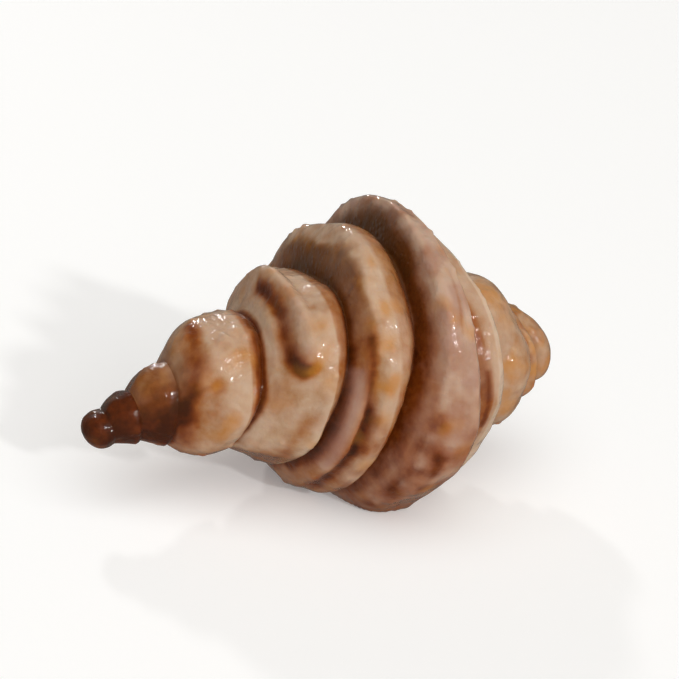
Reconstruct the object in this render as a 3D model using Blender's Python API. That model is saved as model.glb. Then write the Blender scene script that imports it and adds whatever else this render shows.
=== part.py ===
"""Glazed croissant: one closed solid.

A strip of dough rolled up into a spindle leaves a row of stepped rings, widest at the belly. The body is
a turned profile of rings that follows a slightly bent centre line. Each ring leans and bows a little, loose
folds of dough stand out of the front, and the underside is pressed flat where the pastry was baked.

+X runs from the long arm to the short one, -Y is the side that shows the folds, and +Z is up.
The origin is the middle of the underside of the object's box.
"""

import math

import bpy
import numpy as np

MM = 0.001
BELLY_RADIUS = 36 * MM  # the widest ring, from the centre line to its crest
COLUMNS = 48  # points round a ring
ROW_GAP = 1.6 * MM  # the distance between rows of points, about

# Every number below is in belly radii, apart from angles, powers and parts.

# The rings, from the long arm's tip to the short arm's. A ring begins in the crease before it and rises to
# its crest: place along the body, radius and lean of the crease, place and radius of the crest, and how the
# ring swells between them: 1 is a straight cone, more is a steeper wall. The lean is how far the crease's top
# is behind its middle.
RINGS = (
    (-1.84, 0.00, 0.00, -1.75, 0.11, 2.0),
    (-1.70, 0.105, 0.00, -1.58, 0.155, 1.0),
    (-1.55, 0.145, 0.01, -1.41, 0.23, 1.0),
    (-1.37, 0.225, -0.03, -1.03, 0.41, 1.9),
    (-0.955, 0.36, -0.04, -0.60, 0.61, 1.2),
    (-0.55, 0.57, -0.07, -0.30, 0.82, 2.2),
    (-0.19, 0.71, -0.11, 0.11, 1.00, 3.4),
    (0.23, 0.78, 0.08, 0.38, 0.825, 2.2),
    (0.57, 0.46, 0.06, 0.80, 0.515, 1.6),
    (1.04, 0.34, -0.08, 1.10, 0.355, 2.2),
    (1.18, 0.22, -0.02, 1.27, 0.27, 1.7),
)
SHORT_TIP = (1.46, 0.00, 0.00)  # where the last ring closes: place, radius and lean
FALL_POWER = 2.6  # how all rings swell on their far side, from the next crease
TOP_STEEPNESS = 2.5  # by how many times its power a ring's near side swells more steeply on top than in front
CREASE_CROWDING = 1.5  # above 1, the rows of points lie closer together near a crease

# How far the rings' planes are from flat and upright, at four stations along the body.
STATIONS = (-1.67, -0.69, 0.14, 1.11)
LEAN = (0.04, 0.14, 0.00, -0.10)  # how far a ring's top is ahead of its middle
BOW = (-0.01, -0.02, -0.04, -0.04)  # how far its top and bottom are ahead of its front and back
FULL_LEAN_RADIUS = 0.42  # a ring smaller than this leans and bows less

AXIS_HEIGHT = 0.835  # the centre line at the belly, above the baked underside
LONG_ARM_SAG = 0.108  # how far an arm's line has dropped one belly radius from the belly
LONG_ARM_CURL = 2.2  # the power of the distance that the drop grows by
SHORT_ARM_SAG = 0.024
SHORT_ARM_CURL = 2.0
SHORT_ARM_TURN = 0.056  # how far the short arm has turned back there; it grows as the square
SPREAD = 0.08  # the part by which the dough is wider where it meets the tray
SPREAD_HEIGHT = 0.17

# Loose folds of dough, and the grooves beside them. Angles are in degrees, from the top down the front.
# Start (place, angle), end (place, angle), half width, height, and how far the height fades to both ends.
FOLDS = (
    ((-0.79, -60), (-0.775, 58), 0.085, 0.045, 0.2),
    ((-0.87, -30), (-0.855, 60), 0.06, -0.040, 0.3),
    ((-0.515, 58), (-0.485, 165), 0.065, 0.045, 0.7),
    ((-0.43, 62), (-0.38, 165), 0.05, -0.035, 0.7),
    ((-0.33, -110), (-0.33, 35), 0.15, 0.075, 1.0),
    ((-0.06, -110), (-0.04, 30), 0.14, 0.015, 1.0),
)

# Gentle lumps all over. Height, waves in a belly radius along the body, waves round it, and phase.
LUMPS = (
    (0.016, 0.35, 2, 0.4),
    (0.014, 0.90, 3, 2.1),
    (0.010, 1.60, 5, 4.0),
    (0.006, 0.60, 7, 1.3),
)

CRUST_COLOUR = (0.42, 0.22, 0.10, 1.0)
CRUST_ROUGHNESS = 0.3


def swell(part, power):
    """A ring's height at a part of the way from its crease (0) to its crest (1)."""
    return 1 - (1 - part) ** power


def round_tip(part):
    """The same for a tip, which closes like a ball."""
    return np.sqrt(1 - (1 - part) ** 2)


def parts_between(start, end):
    """Parts of the way from a crease (0) to a crest (1), without the crest itself."""
    count = max(5, round(abs(end - start) * BELLY_RADIUS / ROW_GAP))
    return ((np.arange(count) / count) ** CREASE_CROWDING)[:, None]


def turned_profile(angle):
    """Place, radius and crease lean of all points, in rows from the long tip to the short one."""
    level = np.zeros_like(angle)
    upper = np.maximum(0, np.cos(angle))
    rows = []
    ends = [ring[:3] for ring in RINGS[1:]] + [SHORT_TIP]
    for (crease, crease_radius, crease_lean, crest, crest_radius, power), end_row in zip(RINGS, ends):
        end, end_radius, end_lean = end_row
        part = parts_between(crease, crest)
        rise = swell(part, power * (1 + TOP_STEEPNESS * upper**2)) if crease_radius else round_tip(part)
        rows.append((crease + (crest - crease) * part + level,
                     crease_radius + (crest_radius - crease_radius) * rise + level,
                     crease_lean * (1 - part) + level))
        part = np.append(parts_between(end, crest), [[1]], 0)[:0:-1]
        fall = swell(part, FALL_POWER) if end_radius else round_tip(part)
        rows.append((end + (crest - end) * part + level,
                     end_radius + (crest_radius - end_radius) * fall + level,
                     end_lean * (1 - part) + level))
    rows.append([value + level for value in SHORT_TIP])
    return [np.concatenate(values) for values in zip(*rows)]


def along_stations(values, place):
    """A smooth curve through the values at the four stations."""
    return np.polyval(np.polyfit(STATIONS, values, len(STATIONS) - 1), place)


def fold_height(place, angle, radius, fold):
    """Height of a fold: a rounded welt about a line between two points of the rolled-out skin."""
    (start_place, start_degrees), (end_place, end_degrees), half_width, height, fading = fold
    start = np.array((start_place, math.radians(start_degrees)))
    step = np.array((end_place, math.radians(end_degrees))) - start
    along = np.clip((angle - start[1]) / step[1], 0, 1)
    aside = place - (start[0] + along * step[0])
    beyond = (angle - (start[1] + along * step[1])) * radius
    nearness = np.clip(1 - (aside**2 + beyond**2) / half_width**2, 0, 1)
    return height * (1 - fading * (2 * along - 1) ** 2) * nearness**1.5


def lump_height(place, angle):
    """Height of the gentle lumps."""
    waves = (height * np.sin(math.tau * along * place + round_it * angle + phase)
             for height, along, round_it, phase in LUMPS)
    return sum(waves)


def arm_drop(distance, sag, curl):
    """How far an arm's line has dropped at a distance from the belly, and how steeply it drops there."""
    return sag * distance**curl, curl * sag * distance ** (curl - 1)


def centre_line(place):
    """The centre line's point at each place, and the directions backwards and up there."""
    short_arm = np.maximum(place, 0)
    long_drop, long_slope = arm_drop(np.maximum(-place, 0), LONG_ARM_SAG, LONG_ARM_CURL)
    short_drop, short_slope = arm_drop(short_arm, SHORT_ARM_SAG, SHORT_ARM_CURL)
    point = np.stack((place, SHORT_ARM_TURN * short_arm**2, AXIS_HEIGHT - long_drop - short_drop), -1)
    ahead = np.stack((np.ones_like(place), 2 * SHORT_ARM_TURN * short_arm, long_slope - short_slope), -1)
    ahead /= np.linalg.norm(ahead, axis=-1, keepdims=True)
    back = np.cross((0.0, 0.0, 1.0), ahead)
    back /= np.linalg.norm(back, axis=-1, keepdims=True)
    return point, back, np.cross(ahead, back)


def press_flat(points):
    """Flattens what lies below the tray's surface, and spreads the dough just above it."""
    low = np.clip(1 - points[..., 2] / SPREAD_HEIGHT, 0, 1)
    points[..., 1] *= 1 + SPREAD * low**2
    points[..., 2] = np.maximum(points[..., 2], 0)
    return points


def skin_points():
    """Points of the skin in metres, in rows from tip to tip; the columns start at the underside."""
    angle = np.linspace(-math.pi, math.pi, COLUMNS, endpoint=False)[None, :]
    place, radius, crease_lean = turned_profile(angle)
    grown = np.minimum(1, radius / FULL_LEAN_RADIUS)
    relief = lump_height(place, angle) + sum(fold_height(place, angle, radius, fold) for fold in FOLDS)
    shift = (along_stations(LEAN, place) - crease_lean) * np.cos(angle)
    shift += along_stations(BOW, place) * np.cos(2 * angle)
    point, back, up = centre_line(place + grown * shift)
    radius = (radius + grown * relief)[..., None]
    points = point + radius * (np.cos(angle)[..., None] * up - np.sin(angle)[..., None] * back)

    points = press_flat(points)
    middle = (points.min(axis=(0, 1)) + points.max(axis=(0, 1))) / 2
    points[..., :2] -= middle[:2]
    return points * BELLY_RADIUS


def skin_mesh():
    """The closed skin: a grid of quads, with a fan of triangles at each tip."""
    points = skin_points()
    rows = len(points) - 2
    verts = [points[0, 0], *points[1:-1].reshape(-1, 3), points[-1, 0]]
    last = len(verts) - 1
    ring = [[1 + row * COLUMNS + column for column in range(COLUMNS)] for row in range(rows)]
    faces = []
    for column in range(COLUMNS):
        following = (column + 1) % COLUMNS
        faces.append((0, ring[0][following], ring[0][column]))
        faces.append((last, ring[-1][column], ring[-1][following]))
        for row in range(rows - 1):
            faces.append((ring[row][column], ring[row][following],
                          ring[row + 1][following], ring[row + 1][column]))
    mesh = bpy.data.meshes.new("croissant")
    mesh.from_pydata([tuple(vert) for vert in verts], [], faces)
    mesh.shade_smooth()
    return mesh


def crust_material():
    """Browned crust under a clear sugar glaze."""
    material = bpy.data.materials.new("glazed_crust")
    material.use_nodes = True
    shader = material.node_tree.nodes["Principled BSDF"]
    shader.inputs["Base Color"].default_value = CRUST_COLOUR
    shader.inputs["Roughness"].default_value = CRUST_ROUGHNESS
    shader.inputs["Metallic"].default_value = 0.0
    return material


def main():
    for item in list(bpy.data.objects):
        bpy.data.objects.remove(item, do_unlink=True)
    mesh = skin_mesh()
    mesh.materials.append(crust_material())
    bpy.context.scene.collection.objects.link(bpy.data.objects.new("croissant", mesh))


main()
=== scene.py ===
"""Looks of the glazed croissant: its uneven, blistered skin, its browning, and the clear sugar glaze.

The form is grown again from the same sizes as the CAD solid, with more points. The fine relief is added to
it, and the mesh keeps the colour masks as attributes, which the crust's material reads. Some masks paint
shade and sheen besides the crust's own colours.
"""

import math

import bpy
import numpy as np
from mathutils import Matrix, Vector, noise


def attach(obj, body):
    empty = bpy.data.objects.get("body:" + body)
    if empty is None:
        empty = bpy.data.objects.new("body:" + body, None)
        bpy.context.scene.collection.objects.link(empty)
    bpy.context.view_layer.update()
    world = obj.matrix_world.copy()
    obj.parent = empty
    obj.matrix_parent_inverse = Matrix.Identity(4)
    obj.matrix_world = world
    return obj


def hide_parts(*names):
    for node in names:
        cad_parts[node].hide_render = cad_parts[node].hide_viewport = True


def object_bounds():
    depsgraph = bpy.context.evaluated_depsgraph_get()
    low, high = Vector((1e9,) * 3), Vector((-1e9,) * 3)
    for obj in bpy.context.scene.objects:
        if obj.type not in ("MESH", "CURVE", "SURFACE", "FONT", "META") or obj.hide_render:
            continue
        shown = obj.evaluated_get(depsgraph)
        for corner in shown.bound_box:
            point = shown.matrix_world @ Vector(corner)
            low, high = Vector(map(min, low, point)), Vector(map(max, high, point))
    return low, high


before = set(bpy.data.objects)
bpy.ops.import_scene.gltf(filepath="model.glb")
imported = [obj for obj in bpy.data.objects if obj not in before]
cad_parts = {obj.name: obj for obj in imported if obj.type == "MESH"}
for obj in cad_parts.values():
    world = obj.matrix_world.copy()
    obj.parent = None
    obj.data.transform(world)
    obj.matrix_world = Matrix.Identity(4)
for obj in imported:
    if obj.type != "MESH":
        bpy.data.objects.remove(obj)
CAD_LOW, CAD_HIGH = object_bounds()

CENTRE = (CAD_LOW + CAD_HIGH) / 2
TINY = 1e-9  # keeps a divisor from being 0

# ---------------------------------------------------------------------------------------------------------
# The form, as in the CAD solid. Lengths are in belly radii, apart from angles, powers and parts.
# ---------------------------------------------------------------------------------------------------------

# The rings, from the long arm's tip to the short arm's. A ring begins in the crease before it and rises to
# its crest: place along the body, radius and lean of the crease, place and radius of the crest, and how the
# ring swells between them: 1 is a straight cone, more is a steeper wall. The lean is how far the crease's top
# is behind its middle.
RINGS = (
    (-1.84, 0.00, 0.00, -1.75, 0.11, 2.0),
    (-1.70, 0.105, 0.00, -1.58, 0.155, 1.0),
    (-1.55, 0.145, 0.01, -1.41, 0.23, 1.0),
    (-1.37, 0.225, -0.03, -1.03, 0.41, 1.9),
    (-0.955, 0.36, -0.04, -0.60, 0.61, 1.2),
    (-0.55, 0.57, -0.07, -0.30, 0.82, 2.2),
    (-0.19, 0.71, -0.11, 0.11, 1.00, 3.4),
    (0.23, 0.78, 0.08, 0.38, 0.825, 2.2),
    (0.57, 0.46, 0.06, 0.80, 0.515, 1.6),
    (1.04, 0.34, -0.08, 1.10, 0.355, 2.2),
    (1.18, 0.22, -0.02, 1.27, 0.27, 1.7),
)
# Their names: the third and the second are the next largest after the belly.
NIB, TIP, NECK, SHOULDER, THIRD, SECOND, BELLY, STRIP, PUFF, KNOB, NOSE = range(len(RINGS))
SHORT_TIP = (1.46, 0.00, 0.00)  # where the last ring closes: place, radius and lean
FALL_POWER = 2.6  # how all rings swell on their far side, from the next crease
TOP_STEEPNESS = 2.5  # by how many times its power a ring's near side swells more steeply on top

# How far the rings' planes are from flat and upright, at four stations along the body.
STATIONS = (-1.67, -0.69, 0.14, 1.11)
LEAN = (0.04, 0.14, 0.00, -0.10)  # how far a ring's top is ahead of its middle
BOW = (-0.01, -0.02, -0.04, -0.04)  # how far its top and bottom are ahead of its front and back
FULL_LEAN_RADIUS = 0.42  # a ring smaller than this leans and bows less, and has less relief

AXIS_HEIGHT = 0.835  # the centre line at the belly, above the baked underside
LONG_ARM_SAG = 0.108  # how far an arm's line has dropped one belly radius from the belly
LONG_ARM_CURL = 2.2  # the power of the distance that the drop grows by
SHORT_ARM_SAG = 0.024
SHORT_ARM_CURL = 2.0
SHORT_ARM_TURN = 0.056  # how far the short arm has turned back there; it grows as the square
SPREAD = 0.08  # the part by which the dough is wider where it meets the tray
SPREAD_HEIGHT = 0.17

# Loose folds and swellings of the dough, and the grooves beside them. Angles are in degrees from the top, and
# grow down the front.
# Start (place, angle), end (place, angle), half width, height, and how far the height fades to both ends.
FOLDS = (
    ((-0.79, -60), (-0.775, 58), 0.085, 0.045, 0.2),
    ((-0.87, -30), (-0.855, 60), 0.06, -0.040, 0.3),
    ((-0.515, 58), (-0.485, 165), 0.065, 0.045, 0.7),
    ((-0.43, 62), (-0.38, 165), 0.05, -0.035, 0.7),
    ((-0.33, -110), (-0.33, 35), 0.15, 0.075, 1.0),
    ((-0.06, -110), (-0.04, 30), 0.14, 0.015, 1.0),
)

# Gentle lumps all over. Height, waves in a belly radius along the body, waves round it, and phase.
LUMPS = (
    (0.016, 0.35, 2, 0.4),
    (0.014, 0.90, 3, 2.1),
    (0.010, 1.60, 5, 4.0),
    (0.006, 0.60, 7, 1.3),
)

COLUMNS = 272  # points round a ring
ROW_GAP = 0.0115  # the distance between rows of points, about
FEWEST_ROWS = 10  # from a crease to a crest, however near they are
CREASE_CROWDING = 1.35  # above 1, the rows of points lie closer together near a crease


def swell(part, power):
    """A ring's height at a part of the way from its crease (0) to its crest (1)."""
    return 1 - (1 - part) ** power


def round_tip(part):
    """The same for a tip, which closes like a ball."""
    return np.sqrt(1 - (1 - part) ** 2)


def parts_between(start, end):
    """Parts of the way from a crease (0) to a crest (1), without the crest itself."""
    count = max(FEWEST_ROWS, round(abs(end - start) / ROW_GAP))
    return ((np.arange(count) / count) ** CREASE_CROWDING)[:, None]


def turned_profile(angle):
    """Place, radius, lean, ring number and depth below the ring's crest for all points.

    The depth is 0 at the crest, falls with the wall to -1 in the crease before the ring, and grows evenly
    with the place to 1 in the crease after it.
    """
    all_round = np.zeros_like(angle)  # added to a column of values, it repeats them at every angle
    upper = np.maximum(0, np.cos(angle))
    rows = []
    ends = [ring[:3] for ring in RINGS[1:]] + [SHORT_TIP]
    for number, (ring, (end, end_radius, end_lean)) in enumerate(zip(RINGS, ends)):
        crease, crease_radius, crease_lean, crest, crest_radius, power = ring
        part = parts_between(crease, crest)
        rise = swell(part, power * (1 + TOP_STEEPNESS * upper**2)) if crease_radius else round_tip(part)
        rows.append((crease + (crest - crease) * part + all_round,
                     crease_radius + (crest_radius - crease_radius) * rise + all_round,
                     crease_lean * (1 - part) + all_round,
                     number + 0 * part + all_round,
                     rise - 1 + all_round))
        part = np.append(parts_between(end, crest), [[1]], 0)[:0:-1]
        fall = swell(part, FALL_POWER) if end_radius else round_tip(part)
        rows.append((end + (crest - end) * part + all_round,
                     end_radius + (crest_radius - end_radius) * fall + all_round,
                     end_lean * (1 - part) + all_round,
                     number + 0 * part + all_round,
                     1 - part + all_round))
    rows.append([value + all_round for value in (*SHORT_TIP, len(RINGS) - 1, 1.0)])
    return [np.concatenate(values) for values in zip(*rows)]


def along_stations(values, place):
    """A smooth curve through the values at the four stations."""
    return np.polyval(np.polyfit(STATIONS, values, len(STATIONS) - 1), place)


def mound(away):
    """The height of a rounded mound, from 1 in its middle to 0 where the squared distance away is 1."""
    return np.clip(1 - away, 0, 1) ** 1.5


def fold_height(place, angle, radius, fold):
    """Height of a fold: a rounded welt about a line between two points of the rolled-out skin."""
    (start_place, start_degrees), (end_place, end_degrees), half_width, height, fading = fold
    start = np.array((start_place, math.radians(start_degrees)))
    step = np.array((end_place, math.radians(end_degrees))) - start
    along = np.clip((angle - start[1]) / step[1], 0, 1)
    aside = place - (start[0] + along * step[0])
    beyond = (angle - (start[1] + along * step[1])) * radius
    away = (aside**2 + beyond**2) / half_width**2
    return height * (1 - fading * (2 * along - 1) ** 2) * mound(away)


def lump_height(place, angle):
    """Height of the gentle lumps."""
    waves = (height * np.sin(math.tau * along * place + round_it * angle + phase)
             for height, along, round_it, phase in LUMPS)
    return sum(waves)


def arm_drop(distance, sag, curl):
    """How far an arm's line has dropped at a distance from the belly, and how steeply it drops there."""
    return sag * distance**curl, curl * sag * distance ** (curl - 1)


def centre_line(place):
    """The centre line's point at each place, and the directions backwards and up there."""
    short_arm = np.maximum(place, 0)
    long_drop, long_slope = arm_drop(np.maximum(-place, 0), LONG_ARM_SAG, LONG_ARM_CURL)
    short_drop, short_slope = arm_drop(short_arm, SHORT_ARM_SAG, SHORT_ARM_CURL)
    point = np.stack((place, SHORT_ARM_TURN * short_arm**2, AXIS_HEIGHT - long_drop - short_drop), -1)
    ahead = np.stack((np.ones_like(place), 2 * SHORT_ARM_TURN * short_arm, long_slope - short_slope), -1)
    ahead /= np.linalg.norm(ahead, axis=-1, keepdims=True)
    back = np.cross((0.0, 0.0, 1.0), ahead)
    back /= np.linalg.norm(back, axis=-1, keepdims=True)
    return point, back, np.cross(ahead, back)


def press_flat(points):
    """Flattens what lies below the tray's surface, and spreads the dough just above it."""
    low = np.clip(1 - points[..., 2] / SPREAD_HEIGHT, 0, 1)
    points[..., 1] *= 1 + SPREAD * low**2
    points[..., 2] = np.maximum(points[..., 2], 0)
    return points


class Skin:
    """The skin's grid: rows from tip to tip, and columns from the underside up the back and over the top."""

    SEED_STEP = np.array((7.3, 3.1, 5.7))  # the way in the noise from one seed to the next

    def __init__(self):
        angle = np.linspace(-math.pi, math.pi, COLUMNS, endpoint=False)[None, :]
        self.place, self.radius, self.lean, self.ring, self.depth = turned_profile(angle)
        self.angle = np.zeros_like(self.place) + angle
        self.grown = np.minimum(1, self.radius / FULL_LEAN_RADIUS)
        self.points = self.smooth_points()
        self.normals = self.grid_normals()

    def smooth_points(self):
        """The CAD solid's form."""
        relief = lump_height(self.place, self.angle)
        relief += sum(fold_height(self.place, self.angle, self.radius, fold) for fold in FOLDS)
        shift = (along_stations(LEAN, self.place) - self.lean) * np.cos(self.angle)
        shift += along_stations(BOW, self.place) * np.cos(2 * self.angle)
        point, back, up = centre_line(self.place + self.grown * shift)
        radius = (self.radius + self.grown * relief)[..., None]
        return point + radius * (np.cos(self.angle)[..., None] * up - np.sin(self.angle)[..., None] * back)

    def grid_normals(self):
        """Outward normals of the grid, with those of the tips along the body."""
        along = np.gradient(self.points, axis=0)
        round_it = np.roll(self.points, -1, axis=1) - np.roll(self.points, 1, axis=1)
        normals = np.cross(round_it, along)
        length = np.linalg.norm(normals, axis=-1, keepdims=True)
        normals = normals / np.maximum(length, TINY)
        normals[0], normals[-1] = (-1, 0, 0), (1, 0, 0)
        return normals

    def sample(self, frequency, seed, stretch=1.0):
        """Smooth noise from about -1 to 1 over the skin.

        The frequency is how many bumps are in a belly radius along the body. Across it they are longer, by
        the stretch.
        """
        scale = np.array((frequency, frequency / stretch, frequency / stretch))
        places = self.points.reshape(-1, 3) * scale + self.SEED_STEP * seed
        return np.array([noise.noise(place) for place in places.tolist()]).reshape(self.place.shape)


# ---------------------------------------------------------------------------------------------------------
# Ways to make numbers over the skin, most of them from 0 to 1
# ---------------------------------------------------------------------------------------------------------

SOFTNESS = 2.2  # how steeply a spot and a line fade at their edges


def rising(values, start, width):
    """0 up to a start, and 1 from that width beyond it."""
    return np.clip((values - start) / width, 0, 1)


def between(values, low, high, edge):
    """1 where the values are between two limits, falling to 0 within the soft edge inside each."""
    return rising(values, low, edge) * rising(-values, -high, edge)


def facing(skin, angle):
    """1 at an angle round the body, falling to 0 a quarter turn away."""
    return np.clip(np.cos(skin.angle - angle), 0, 1)


def layers(skin, *given):
    """The sum of layers of noise. Each is given as its strength, frequency, seed and any stretch."""
    return sum(strength * skin.sample(*layer) for strength, *layer in given)


def spots(skin, strength, contrast, cut, frequency, seed):
    """Random spots: noise with more contrast, less what is cut away between the spots."""
    return strength * np.clip(contrast * skin.sample(frequency, seed) - cut, 0, 1)


def nearness(skin, place, degrees, half_width):
    """1 at a point of the skin, falling softly to 0 at about its half width."""
    beyond = (skin.angle - math.radians(degrees)) * skin.radius
    return np.exp(-SOFTNESS * ((skin.place - place) ** 2 + beyond**2) / half_width**2)


def line_nearness(skin, points, half_width):
    """1 on a line of points (place, degrees) of the skin, falling softly to 0 at about its half width."""
    nearest = np.zeros(skin.place.shape)
    for (first, first_degrees), (last, last_degrees) in zip(points, points[1:]):
        aside = skin.place - first
        beyond = (skin.angle - math.radians(first_degrees)) * skin.radius
        step = last - first
        turn = math.radians(last_degrees - first_degrees) * skin.radius
        along = np.clip((aside * step + beyond * turn) / (step**2 + turn**2 + TINY), 0, 1)
        away = (aside - along * step) ** 2 + (beyond - along * turn) ** 2
        nearest = np.maximum(nearest, np.exp(-SOFTNESS * away / half_width**2))
    return nearest


# ---------------------------------------------------------------------------------------------------------
# Fine relief
# ---------------------------------------------------------------------------------------------------------

UPPER_LEFT = np.array((-0.5, 0.1, 0.8))  # the way that the most blistered faces look
BLISTERS = 460
BLISTER_SEED = 11
BLISTER_RADII = (0.020, 0.036)
BLISTER_SLOPES = (0.18, 0.36)  # heights, as parts of the radius
BLISTER_ROWS = 30  # the rows to each side that a blister is worked out on, more than it is wide
BLISTER_DEPTH = 0.4  # no blister is deeper below a crest, to either side
BLISTER_CHANCE = 0.2  # how likely one stays that faces away from the upper left

UNEVENNESS = ((0.009, 5.0, 1), (0.004, 11, 2), (0.0012, 28, 3))  # layers of noise all over
WRINKLES = 24  # in a belly radius
WRINKLE_HEIGHT = 0.0025
WRINKLE_WANDER = (2.5, 4, 4)  # the layer of noise that bends them
WRINKLED_BELLY = (0.0, 0.22, 0.06)  # where the belly's rim has wrinkles: the places and the soft edge
WRINKLED_STRIP = (-0.9, 0.9, 0.2)  # where the strip after it has them: the depths and the soft edge
OUT_OF_CREASES = (-1, 1, 0.2)  # the depths that have relief


def blister_height(skin):
    """Small round blisters where the dough bubbled, most of them on the upper left of the rings."""
    chance = np.random.default_rng(BLISTER_SEED)
    rows, columns = skin.place.shape
    height = np.zeros(skin.place.shape)
    made = 0
    while made < BLISTERS:
        row, column = chance.integers(2, rows - 2), chance.integers(columns)
        upper_left = max(0, skin.normals[row, column] @ UPPER_LEFT)
        unlikely = chance.random() > BLISTER_CHANCE + (1 - BLISTER_CHANCE) * upper_left
        if unlikely or abs(skin.depth[row, column]) > BLISTER_DEPTH:
            continue
        radius = chance.uniform(*BLISTER_RADII)
        tall = radius * chance.uniform(*BLISTER_SLOPES)
        near = slice(max(0, row - BLISTER_ROWS), row + BLISTER_ROWS + 1)
        away = np.sum((skin.points[near] - skin.points[row, column]) ** 2, axis=-1) / radius**2
        height[near] += tall * mound(away)
        made += 1
    return height


def fine_relief(skin):
    """Height of all that is too fine for the CAD solid."""
    wrinkles = np.sin(math.tau * WRINKLES * skin.place + layers(skin, WRINKLE_WANDER))
    wrinkled = between(skin.place, *WRINKLED_BELLY) * (skin.ring == BELLY)
    wrinkled += between(skin.depth, *WRINKLED_STRIP) * (skin.ring == STRIP)
    relief = layers(skin, *UNEVENNESS) + blister_height(skin) + WRINKLE_HEIGHT * wrinkles * wrinkled
    return relief * skin.grown * between(skin.depth, *OUT_OF_CREASES)


# ---------------------------------------------------------------------------------------------------------
# Browning, painted shade and sheen, and the other colour masks
# ---------------------------------------------------------------------------------------------------------

# How brown each ring is at some depths, from its near crease (-1) over its crest (0) to its far crease (1).
# The darker browns toward both creases and on the far sides are partly browning and partly painted shade,
# where shade falls between the rings.
BAKE_AND_PAINTED_SHADE = {
    # The long arm's tip rings are nearly burnt: partly browning, partly painted shade on that end.
    NIB: ((-1, 0.98), (0, 0.94), (1, 0.98)),
    TIP: ((-1, 0.98), (0, 0.94), (1, 0.98)),
    NECK: ((-1, 0.96), (0, 0.90), (1, 0.90)),
    SHOULDER: ((-1, 0.70), (-0.9, 0.44), (-0.6, 0.36), (-0.3, 0.28), (0, 0.26), (0.08, 0.42), (0.24, 0.48),
               (0.40, 0.72), (0.55, 0.84), (1, 0.88)),
    THIRD: ((-1, 0.88), (-0.95, 0.84), (-0.90, 0.46), (-0.86, 0.30), (-0.6, 0.26), (-0.3, 0.16), (0, 0.20),
            (0.06, 0.38), (0.3, 0.46), (0.6, 0.52), (0.8, 0.7), (1, 0.84)),
    SECOND: ((-1, 0.88), (-0.85, 0.74), (-0.67, 0.52), (-0.4, 0.44), (-0.25, 0.40), (-0.14, 0.32),
             (-0.05, 0.22), (0, 0.20), (0.08, 0.34), (0.42, 0.42), (0.62, 0.52), (0.8, 0.66), (1, 0.74)),
    BELLY: ((-1, 0.78), (-0.8, 0.80), (-0.55, 0.72), (-0.4, 0.54), (-0.27, 0.38), (-0.14, 0.24), (0, 0.20),
            (0.5, 0.30), (1, 0.5)),
    STRIP: ((-1, 0.70), (-0.7, 0.54), (-0.13, 0.52), (-0.02, 0.44), (0.04, 0.04), (0.5, 0.04), (0.8, 0.3),
            (1, 0.6)),
    PUFF: ((-1, 0.5), (-0.85, 0.08), (-0.4, 0.12), (0, 0.16), (0.5, 0.26), (1, 0.55)),
    KNOB: ((-1, 0.6), (-0.5, 0.34), (0, 0.32), (1, 0.5)),
    NOSE: ((-1, 0.55), (-0.4, 0.32), (0, 0.30), (1, 0.5)),
}
# How wavy the edges between the browned and the pale parts are, and the waves' layers of noise.
WAVE = 0.09
WAVE_LAYERS = ((1.0, 4.5, 31), (0.7, 10, 32), (0.4, 22, 33))
WAVE_END = 1.2  # the depth where the waves would die out; they are largest at the crest

# Browned lines: points (place, degrees from the top down the front) along each, half width, and how much
# browner.
BROWNED = (
    (((-1.26, -10), (-1.300, 26), (-1.315, 58), (-1.335, 75), (-1.345, 92)), 0.060, 0.42),
    (((-1.365, 85), (-1.33, 125)), 0.110, 0.26),
    (((-1.216, 58), (-1.203, 66)), 0.045, 0.26),
    (((-1.285, 62), (-1.215, 60)), 0.030, 0.14),
    (((-0.855, -15), (-0.853, 21), (-0.856, 40), (-0.842, 56), (-0.812, 64), (-0.775, 67)), 0.052, 0.66),
    (((-0.790, 66), (-0.735, 65)), 0.055, 0.46),
    (((-0.690, 98), (-0.735, 126)), 0.070, 0.22),
    (((-0.700, 130), (-0.690, 150)), 0.090, 0.36),
    (((-0.888, 72), (-0.870, 92)), 0.060, 0.14),
    (((-0.542, 58), (-0.537, 100), (-0.527, 150)), 0.030, 0.20),
    (((-0.470, 56), (-0.450, 75), (-0.425, 92), (-0.410, 134), (-0.400, 160)), 0.045, 0.36),
    (((-0.475, -10), (-0.486, 24), (-0.497, 40), (-0.488, 58)), 0.045, 0.06),
    (((0.052, 36), (0.020, 58)), 0.030, 0.24),
    (((-0.045, 88), (-0.025, 104)), 0.050, 0.20),
    (((0.000, 104), (0.020, 126)), 0.050, 0.24),
    (((-0.050, 118), (-0.030, 150)), 0.060, 0.20),
    (((0.320, 74), (0.335, 100)), 0.030, 0.24),
)
BROWNED_PATCHINESS = (0.25, 9, 27)  # a layer of noise, as all that is called patchiness
BAKE_LAYERS = ((0.06, 5.0, 21, 2.5), (0.06, 12, 22, 2.0), (0.05, 26, 28))

# On top of their near walls, the belly and the ring before it get painted shade: browner and olive, where
# these faces look away from the light.
SHADED_TOP = -0.25  # the angle where this is strongest, in radians: a little behind the top
TOP_PAINTED_SHADE = 0.28
TOP_PAINTED_SHADE_DEPTHS = (-1.0, -0.04, 0.2)
TOP_OLIVE_PAINTED_SHADE_DEPTHS = (0.04, 0.15)  # how far below the crest it begins, and over how much it grows
# Low down, both are browner.
LOW_ANGLES = (1.3, 0.35)  # how far from the top this begins, and over how much it grows, in radians
LOW_DEPTHS = (-0.45, 0.6, 0.2)
LOW_BROWNER = ((BELLY, 0.30, (0.25, 9, 34)), (SECOND, 0.18, (0.25, 8, 35)))
# On top, the long arm's neck is paler, and the neck and the start of the shoulder get olive painted shade.
ARM_TOP = 0.2  # the angle where this is strongest, in radians: a little in front of the top
ARM_TOP_PALER = 0.34
ARM_TOP_OLIVE_PAINTED_SHADE = 0.6
SHOULDER_OLIVE_PAINTED_SHADE_DEPTHS = (0.5, 0.2)

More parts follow.
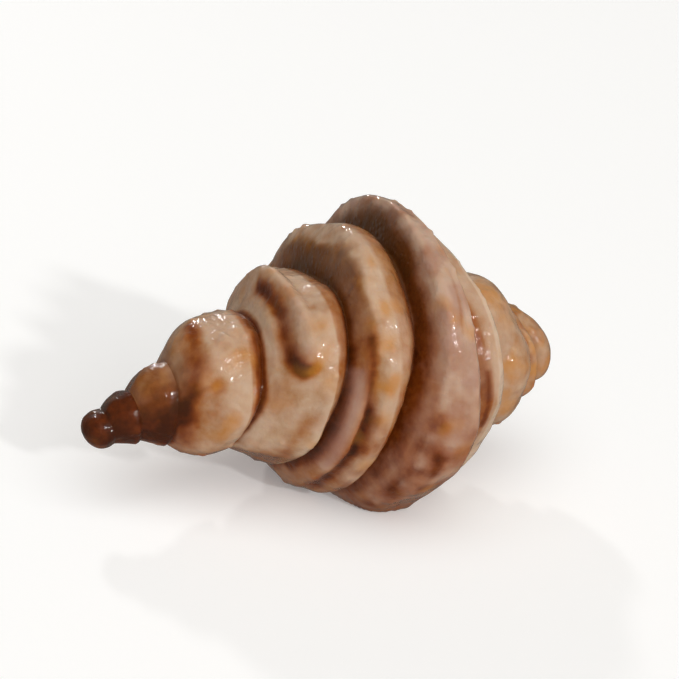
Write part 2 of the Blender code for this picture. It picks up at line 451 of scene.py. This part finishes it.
# Random spots: strength, contrast, what is cut away, frequency and seed.
BELLY_BROWN_SPOTS = (0.22, 2.2, 0.3, 8, 38)
BELLY_BROWN_DEPTHS = (-0.2, 0.9, 0.1)
ARM_BROWN_SPOTS = (0.22, 1.8, 0.2, 10, 37)
ARM_OCHRE_SPOTS = (0.9, 1.8, 0.1, 8, 36)
CREST_OCHRE_SPOTS = (0.8, 2.2, 0.55, 7, 25)
CREST_OCHRE_FADING = 1.5  # above 1, these end before the creases
BELLY_MILK_AND_PAINTED_SHEEN_SPOTS = (1.4, 3.0, 0.0, 7, 39)
BELLY_MILK_AND_PAINTED_SHEEN_DEPTHS = (-0.3, 0.5, 0.1)

# Yellow-brown spots: place, degrees, size, strength.
OCHRE = (
    (-1.210, 62, 0.040, 1.0), (-0.740, 65, 0.035, 0.6), (-1.100, 44, 0.075, 0.6), (-1.050, 20, 0.060, 0.5),
    (-0.690, 42, 0.065, 0.9), (-0.672, 57, 0.060, 0.9), (-0.740, 64, 0.050, 0.8), (-0.640, 74, 0.070, 0.5),
    (-0.870, 88, 0.060, 0.5), (-0.780, 14, 0.070, 0.4), (-0.355, 44, 0.070, 1.0), (-0.372, 59, 0.070, 1.0),
    (-0.365, 77, 0.075, 1.0), (-0.340, 92, 0.060, 0.7), (-0.345, 24, 0.060, 0.7), (-0.047, 54, 0.030, 0.9),
    (0.020, 36, 0.030, 0.5), (0.815, 22, 0.100, 0.9), (0.800, 40, 0.070, 0.8), (0.755, 88, 0.070, 0.9),
    (0.790, 114, 0.080, 0.8), (0.650, 60, 0.050, 0.6), (1.215, 41, 0.050, 0.7), (1.236, 105, 0.060, 0.6),
)
OCHRE_WIDTH = 1.3  # a spot's half width, as a part of its size
OCHRE_PATCHINESS = (0.8, 14, 29)

# Pinkish stretches under the glaze: along the loose fold, and on the low ridge at the start of the ring
# before the belly, which is paler too. Points (place, degrees) along each, half width, strength.
FOLD_ROSE = (((-0.785, 8), (-0.797, 30), (-0.785, 48), (-0.772, 60)), 0.055, 0.25)
RIDGE_ROSE = (((-0.516, 70), (-0.500, 86), (-0.498, 110), (-0.490, 126)), 0.036, 0.9)
RIDGE_PALER = 0.08
BELLY_ROSE = 0.8
ROSE_ALL_OVER = 0.10
ROSE_PATCHINESS = (0.35, 6.0, 23)

# Milky glaze, with painted sheen on the crests, rims and strip: strength, depths with a soft edge, and rings;
# then what lies all over.
MILK_AND_PAINTED_SHEEN = (
    (0.8, (-0.12, 0.14, 0.1), (SHOULDER, THIRD, SECOND)),
    (0.7, (-0.95, -0.6, 0.1), (THIRD, PUFF)),
    (1.6, (-0.04, 0.6, 0.08), (STRIP,)),
)
MILK_AND_PAINTED_SHEEN_ALL_OVER = 0.25
MILK_AND_PAINTED_SHEEN_LAYERS = ((0.9, 4.5, 24), (0.6, 11, 30))
# How the rose and the milky glaze with its painted sheen fade as the skin gets browner.
PALE_LEVEL = 1.35
PALE_SLOPE = 1.7

BLISTERED_UPPER_LEFT = 0.25  # how blistered the upper left faces are, where they have no olive painted shade
UNDERSIDE = (0.55, 0.3)  # how far down the skin faces where plain browning begins, and over how much it grows
UNDERSIDE_BAKE = 0.62
UNDERSIDE_PATCHINESS = (0.15, 5, 26)


def waved_depth(skin):
    """The depth on the rings, with waves, so that the edges of what is browned aren't straight."""
    wave = WAVE * layers(skin, *WAVE_LAYERS) * (skin.ring != STRIP)
    return np.clip(skin.depth + wave * (WAVE_END - abs(skin.depth)), -1, 1)


def bake_and_painted_shade_mask(skin, depth):
    """How brown the skin is, from browning and from painted shade."""
    bake_and_painted_shade = np.zeros(skin.place.shape)
    for ring, stops in BAKE_AND_PAINTED_SHADE.items():
        here = skin.ring == ring
        bake_and_painted_shade[here] = np.interp(depth[here], *zip(*stops))
    patchiness = 1 + layers(skin, BROWNED_PATCHINESS)
    for points, half_width, strength in BROWNED:
        bake_and_painted_shade += strength * line_nearness(skin, points, half_width) * patchiness
    bake_and_painted_shade += layers(skin, *BAKE_LAYERS)
    top = facing(skin, SHADED_TOP) ** 2 * np.isin(skin.ring, (SECOND, BELLY))
    bake_and_painted_shade += TOP_PAINTED_SHADE * top * between(depth, *TOP_PAINTED_SHADE_DEPTHS)
    low = rising(abs(skin.angle), *LOW_ANGLES) * between(depth, *LOW_DEPTHS)
    for ring, browner, layer in LOW_BROWNER:
        bake_and_painted_shade += (browner + layers(skin, layer)) * low * (skin.ring == ring)
    bake_and_painted_shade -= ARM_TOP_PALER * facing(skin, ARM_TOP) ** 3 * (skin.ring == NECK)
    bake_and_painted_shade += spots(skin, *BELLY_BROWN_SPOTS) * between(depth, *BELLY_BROWN_DEPTHS) * (skin.ring == BELLY)
    return bake_and_painted_shade + spots(skin, *ARM_BROWN_SPOTS) * np.isin(skin.ring, (PUFF, KNOB, NOSE))


def ochre_mask(skin, depth):
    """How yellow-brown the skin is: in the listed spots, at random on crests, and more on the short arm."""
    ochre = sum(strength * nearness(skin, place, degrees, OCHRE_WIDTH * size)
                for place, degrees, size, strength in OCHRE)
    ochre *= 1 + layers(skin, OCHRE_PATCHINESS)
    ochre += spots(skin, *CREST_OCHRE_SPOTS) * np.clip(1 - CREST_OCHRE_FADING * abs(depth), 0, 1)
    return ochre + spots(skin, *ARM_OCHRE_SPOTS) * np.isin(skin.ring, (PUFF, KNOB, NOSE))


def olive_painted_shade_mask(skin, depth):
    """How dull and olive the skin is: painted shade on top of the large rings' near walls, and on top of the
    long arm.
    """
    olive_painted_shade = facing(skin, SHADED_TOP) ** 2 * rising(-depth, *TOP_OLIVE_PAINTED_SHADE_DEPTHS) * np.isin(skin.ring, (SECOND, BELLY))
    arm = (skin.ring == NECK) + (skin.ring == SHOULDER) * rising(-depth, *SHOULDER_OLIVE_PAINTED_SHADE_DEPTHS)
    return olive_painted_shade + ARM_TOP_OLIVE_PAINTED_SHADE * facing(skin, ARM_TOP) ** 2 * arm


def rose_mask(skin, pale):
    """How pink the skin is: most of all on the pale parts of the belly, and on two stretches."""
    rose = (BELLY_ROSE * (skin.ring == BELLY) + ROSE_ALL_OVER + layers(skin, ROSE_PATCHINESS)) * pale
    for points, half_width, strength in (FOLD_ROSE, RIDGE_ROSE):
        rose += strength * line_nearness(skin, points, half_width)
    return rose


def milk_and_painted_sheen_mask(skin, depth, pale):
    """How milky the glaze is, with painted sheen: on pale skin, most of all on the rims and on the strip."""
    milk_and_painted_sheen = MILK_AND_PAINTED_SHEEN_ALL_OVER + layers(skin, *MILK_AND_PAINTED_SHEEN_LAYERS)
    for strength, depths, rings in MILK_AND_PAINTED_SHEEN:
        milk_and_painted_sheen += strength * between(depth, *depths) * np.isin(skin.ring, rings)
    milk_and_painted_sheen += spots(skin, *BELLY_MILK_AND_PAINTED_SHEEN_SPOTS) * between(depth, *BELLY_MILK_AND_PAINTED_SHEEN_DEPTHS) * (skin.ring == BELLY)
    return milk_and_painted_sheen * pale


def colour_masks(skin):
    """The masks by name. Each counts from 0 to 1, and skin_mesh cuts off what is beyond."""
    depth = waved_depth(skin)
    bake_and_painted_shade = bake_and_painted_shade_mask(skin, depth)
    pale = np.clip(PALE_LEVEL - PALE_SLOPE * bake_and_painted_shade, 0, 1)
    bake_and_painted_shade -= RIDGE_PALER * line_nearness(skin, *RIDGE_ROSE[:2])
    olive_painted_shade = olive_painted_shade_mask(skin, depth)
    blisters = olive_painted_shade + BLISTERED_UPPER_LEFT * np.clip(skin.normals @ UPPER_LEFT, 0, 1) ** 2
    under = rising(-skin.normals[..., 2], *UNDERSIDE)
    plain = UNDERSIDE_BAKE + layers(skin, UNDERSIDE_PATCHINESS)
    return {"bake_and_painted_shade": bake_and_painted_shade * (1 - under) + plain * under,
            "ochre": ochre_mask(skin, depth) * (1 - under),
            "olive_painted_shade": olive_painted_shade,
            "rose": rose_mask(skin, pale) * (1 - under),
            "milk_and_painted_sheen": milk_and_painted_sheen_mask(skin, depth, pale) * (1 - under),
            "blisters": blisters * skin.grown}


# ---------------------------------------------------------------------------------------------------------
# The piece
# ---------------------------------------------------------------------------------------------------------

def skin_mesh(points, masks):
    """The closed skin: a grid of quads, with a fan of triangles at each tip, and its colour masks."""
    rows = len(points) - 2
    verts = np.concatenate((points[:1, 0], points[1:-1].reshape(-1, 3), points[-1:, 0]))
    last = len(verts) - 1
    grid = 1 + np.arange(rows * COLUMNS).reshape(rows, COLUMNS)
    following = np.roll(grid, -1, axis=1)
    quads = np.stack((grid[:-1], following[:-1], following[1:], grid[1:]), -1).reshape(-1, 4)
    first_fan = [(0, int(after), int(here)) for here, after in zip(grid[0], following[0])]
    last_fan = [(last, int(here), int(after)) for here, after in zip(grid[-1], following[-1])]
    mesh = bpy.data.meshes.new("glazed_croissant")
    mesh.from_pydata(verts.tolist(), [], first_fan + quads.tolist() + last_fan)
    mesh.shade_smooth()
    for name, values in masks.items():
        values = np.clip(np.concatenate((values[:1, 0], values[1:-1].ravel(), values[-1:, 0])), 0, 1)
        mesh.attributes.new(name, "FLOAT", "POINT").data.foreach_set("value", values)
    return mesh


def croissant():
    """The dressed croissant in metres, scaled as the CAD solid and centred on it."""
    skin = Skin()
    masks = colour_masks(skin)
    length = np.ptp(press_flat(skin.points.copy())[..., 0])
    points = press_flat(skin.points + skin.normals * fine_relief(skin)[..., None])
    middle = (points.min(axis=(0, 1)) + points.max(axis=(0, 1))) / 2
    points[..., :2] -= middle[:2]
    points *= (CAD_HIGH.x - CAD_LOW.x) / length
    points[..., :2] += np.array(CENTRE[:2])
    points[..., 2] += CAD_LOW.z
    piece = bpy.data.objects.new("glazed_croissant", skin_mesh(points, masks))
    bpy.context.scene.collection.objects.link(piece)
    return piece


# ---------------------------------------------------------------------------------------------------------
# Materials
# ---------------------------------------------------------------------------------------------------------

def linear(red, green, blue):
    """A colour given as the eye sees it, from 0 to 255, as Blender's linear light."""
    return tuple((value / 255 / 12.92 if value <= 10 else ((value / 255 + 0.055) / 1.055) ** 2.4)
                 for value in (red, green, blue)) + (1.0,)


# The crust's colours from barely baked (0) to burnt (1); the dark end also paints shade in the creases, on
# top and at the long arm's tip.
CRUST_COLOURS = (
    (0.00, linear(198, 172, 146)),
    (0.20, linear(178, 142, 110)),
    (0.38, linear(164, 114, 72)),
    (0.54, linear(148, 84, 34)),
    (0.70, linear(122, 57, 12)),
    (0.86, linear(94, 38, 2)),
    (1.00, linear(66, 24, 0)),
)
# The tints over them, in the order that they are laid on: mask, strength and colour.
TINTS = (
    # olive: painted shade on top faces and the long arm's top
    ("olive_painted_shade", 0.7, linear(104, 70, 34)),
    ("rose", 0.7, linear(168, 128, 116)),
    # milk: milky glaze colour and painted sheen
    ("milk_and_painted_sheen", 0.5, linear(206, 180, 156)),
    ("ochre", 0.6, linear(190, 124, 40)),
)
# Noise in the material: bumps in a metre, and strength. Mottle and speckle are in the browning, and dimples
# and grain in the height.
MOTTLE = (230, 0.38)
SPECKLE = (800, 0.18)
DIMPLES = (320, 1.6)
GRAIN = (1500, 0.08)
NOISE_KIND = {"Detail": 3.0, "Roughness": 0.55}
# The glaze's bubbles: cells in a metre, how softly they meet, and a bubble's radius in its cell and height.
BUBBLES = 620.0
BUBBLE_SMOOTHNESS = 0.3
BUBBLE_RADIUS = 0.45
BUBBLE_HEIGHT = 1.3
BUMP_DISTANCE = 0.0005  # in metres, for a height of 1
BUMP_STRENGTHS = {"Normal": 0.6, "Coat Normal": 0.95}
# The principled shader's other numbers: dull dough that lets some light in, under a wet glaze.
CRUST_SURFACE = {
    "Roughness": 0.4,
    "Specular IOR Level": 0.2,
    "IOR": 1.45,
    "Subsurface Weight": 0.3,
    "Subsurface Radius": (1.0, 0.45, 0.2),
    "Subsurface Scale": 0.0035,
    "Coat Weight": 1.0,
    "Coat Roughness": 0.04,
    "Coat IOR": 1.4,
}
FLOOR_SURFACE = {
    "Base Color": (0.86, 0.86, 0.85, 1.0),
    "Roughness": 0.7,
    "Emission Color": (1.0, 1.0, 1.0, 1.0),
    "Emission Strength": 0.2,
}


class Nodes:
    """A material's node tree, with short ways to add nodes and to link them."""

    def __init__(self, name):
        self.material = bpy.data.materials.new(name)
        self.material.use_nodes = True
        self.tree = self.material.node_tree
        self.shader = self.tree.nodes["Principled BSDF"]

    def add(self, kind, inputs=None, **settings):
        """Adds a node. The inputs give a value or a link for each socket's name or number."""
        node = self.tree.nodes.new(kind)
        for name, value in settings.items():
            setattr(node, name, value)
        self.feed(node, inputs or {})
        return node

    def feed(self, node, inputs):
        for socket, value in inputs.items():
            if isinstance(value, bpy.types.NodeSocket):
                self.tree.links.new(value, node.inputs[socket])
            else:
                node.inputs[socket].default_value = value

    def math(self, operation, first, second):
        return self.add("ShaderNodeMath", {0: first, 1: second}, operation=operation).outputs[0]

    def place(self):
        """Where a point is on the piece, in metres."""
        node = self.tree.nodes.get("place") or self.add("ShaderNodeTexCoord", name="place")
        return node.outputs["Object"]

    def noise(self, scale):
        inputs = {"Vector": self.place(), "Scale": scale, **NOISE_KIND}
        return self.add("ShaderNodeTexNoise", inputs).outputs["Fac"]

    def mask(self, name):
        return self.add("ShaderNodeAttribute", attribute_name=name).outputs["Fac"]

    def mix(self, factor, first, second):
        return self.add("ShaderNodeMix", {0: factor, 6: first, 7: second}, data_type="RGBA").outputs[2]


def crust_colour(nodes):
    """The dough's colour from its browning and painted shade, with the tints over it, painted shade and sheen
    among them.
    """
    bake_and_painted_shade = nodes.mask("bake_and_painted_shade")
    for scale, strength in (MOTTLE, SPECKLE):
        centred = nodes.math("SUBTRACT", nodes.noise(scale), 0.5)
        bake_and_painted_shade = nodes.math("ADD", bake_and_painted_shade, nodes.math("MULTIPLY", centred, strength))
    ramp = nodes.add("ShaderNodeValToRGB", {0: bake_and_painted_shade})
    for place, colour in CRUST_COLOURS[1:-1]:
        ramp.color_ramp.elements.new(place).color = colour
    for end in (0, -1):
        ramp.color_ramp.elements[end].color = CRUST_COLOURS[end][1]
    colour = ramp.outputs["Color"]
    for mask, strength, tint in TINTS:
        colour = nodes.mix(nodes.math("MULTIPLY", nodes.mask(mask), strength), colour, tint)
    return colour


def glaze_height(nodes):
    """Height of the glaze: dimples and grain all over, and small bubbles where the mask of blisters is."""
    inputs = {"Vector": nodes.place(), "Scale": BUBBLES, "Smoothness": BUBBLE_SMOOTHNESS}
    cells = nodes.add("ShaderNodeTexVoronoi", inputs, feature="SMOOTH_F1")
    bubble = nodes.math("MAXIMUM", nodes.math("SUBTRACT", BUBBLE_RADIUS, cells.outputs["Distance"]), 0.0)
    height = nodes.math("MULTIPLY", nodes.math("MULTIPLY", bubble, nodes.mask("blisters")), BUBBLE_HEIGHT)
    for scale, strength in (DIMPLES, GRAIN):
        height = nodes.math("ADD", height, nodes.math("MULTIPLY", nodes.noise(scale), strength))
    return height


def crust_material():
    """Browned dough under a wet sugar glaze, which is the coat."""
    nodes = Nodes("glazed_crust")
    nodes.feed(nodes.shader, {"Base Color": crust_colour(nodes), **CRUST_SURFACE})
    height = glaze_height(nodes)
    for socket, strength in BUMP_STRENGTHS.items():
        inputs = {"Strength": strength, "Distance": BUMP_DISTANCE, "Height": height}
        nodes.feed(nodes.shader, {socket: nodes.add("ShaderNodeBump", inputs).outputs["Normal"]})
    return nodes.material


def floor_material():
    """Plain, pale and dull, and a little lit from within, so that it is as white as the photo's ground."""
    nodes = Nodes("pale_floor")
    nodes.feed(nodes.shader, FLOOR_SURFACE)
    return nodes.material


# ---------------------------------------------------------------------------------------------------------
# Stage, light and camera, in metres and degrees
# ---------------------------------------------------------------------------------------------------------

FLOOR_HALF_WIDTH = 3.0
FLOOR_GAP = 0.0002  # below the object, so that the two surfaces don't fall together
# The lamps: name, azimuth, elevation, width, strength, and whether it shows in the glaze. A wide one is soft.
LAMPS = (
    ("key", 13, 28, 4.5, 0.90, True),
    ("back", 172, 30, 4.0, 0.45, True),
    ("fill", -16, 62, 90, 2.05, False),
)
WORLD_COLOUR = (1.0, 0.93, 0.84, 1.0)
WORLD_STRENGTH = 0.14
CAMERA_AZIMUTH = -32.6
CAMERA_ELEVATION = 22.0
CAMERA_ROLL = 10.0
CAMERA_DISTANCE = 0.3252
CAMERA_LENS = 74.85  # mm, on Blender's sensor of 36 mm
CAMERA_AIM = CENTRE + Vector((0.0022, 0.0047, -0.0012))  # what it looks at
CAMERA_RANGE = (0.01, 20.0)  # the nearest and the farthest that it sees


def direction(azimuth, elevation):
    """The way from the object to something at that azimuth and elevation, in degrees."""
    turn, rise = math.radians(azimuth), math.radians(elevation)
    return Vector((math.sin(turn) * math.cos(rise), -math.cos(turn) * math.cos(rise), math.sin(rise)))


def make_floor():
    """A pale floor just below the object, which doesn't show in the glaze."""
    half = FLOOR_HALF_WIDTH
    mesh = bpy.data.meshes.new("floor")
    corners = [(-half, -half, 0), (half, -half, 0), (half, half, 0), (-half, half, 0)]
    mesh.from_pydata(corners, [], [(0, 1, 2, 3)])
    mesh.materials.append(floor_material())
    floor = bpy.data.objects.new("floor", mesh)
    floor.location.z = CAD_LOW.z - FLOOR_GAP
    floor.visible_glossy = False
    bpy.context.scene.collection.objects.link(floor)


def make_lamp(name, azimuth, elevation, width, strength, glossy):
    """A round lamp, so far away that its light is even."""
    data = bpy.data.lights.new(name, "SUN")
    data.energy = strength
    data.angle = math.radians(width)
    lamp = bpy.data.objects.new(name, data)
    lamp.rotation_euler = (-direction(azimuth, elevation)).to_track_quat("-Z", "Y").to_euler()
    lamp.visible_glossy = glossy
    bpy.context.scene.collection.objects.link(lamp)


def make_world():
    """A faint warm light from all around."""
    world = bpy.data.worlds.new("studio")
    world.use_nodes = True
    background = world.node_tree.nodes["Background"]
    background.inputs["Color"].default_value = WORLD_COLOUR
    background.inputs["Strength"].default_value = WORLD_STRENGTH
    bpy.context.scene.world = world


def make_camera():
    """A close camera to the long arm's side, rolled so that the body slopes as in the photo."""
    back = direction(CAMERA_AZIMUTH, CAMERA_ELEVATION)
    camera = bpy.data.objects.new("camera", bpy.data.cameras.new("camera"))
    camera.data.lens = CAMERA_LENS
    camera.data.clip_start, camera.data.clip_end = CAMERA_RANGE
    camera.location = CAMERA_AIM + back * CAMERA_DISTANCE
    camera.rotation_euler = (-back).to_track_quat("-Z", "Y").to_euler()
    camera.rotation_euler.rotate_axis("Z", math.radians(CAMERA_ROLL))
    bpy.context.scene.collection.objects.link(camera)
    bpy.context.scene.camera = camera


def main():
    piece = croissant()
    piece.data.materials.append(crust_material())
    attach(piece, "root")
    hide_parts("croissant")
    make_floor()
    for lamp in LAMPS:
        make_lamp(*lamp)
    make_world()
    make_camera()
    bpy.context.scene.view_settings.view_transform = "Standard"


main()
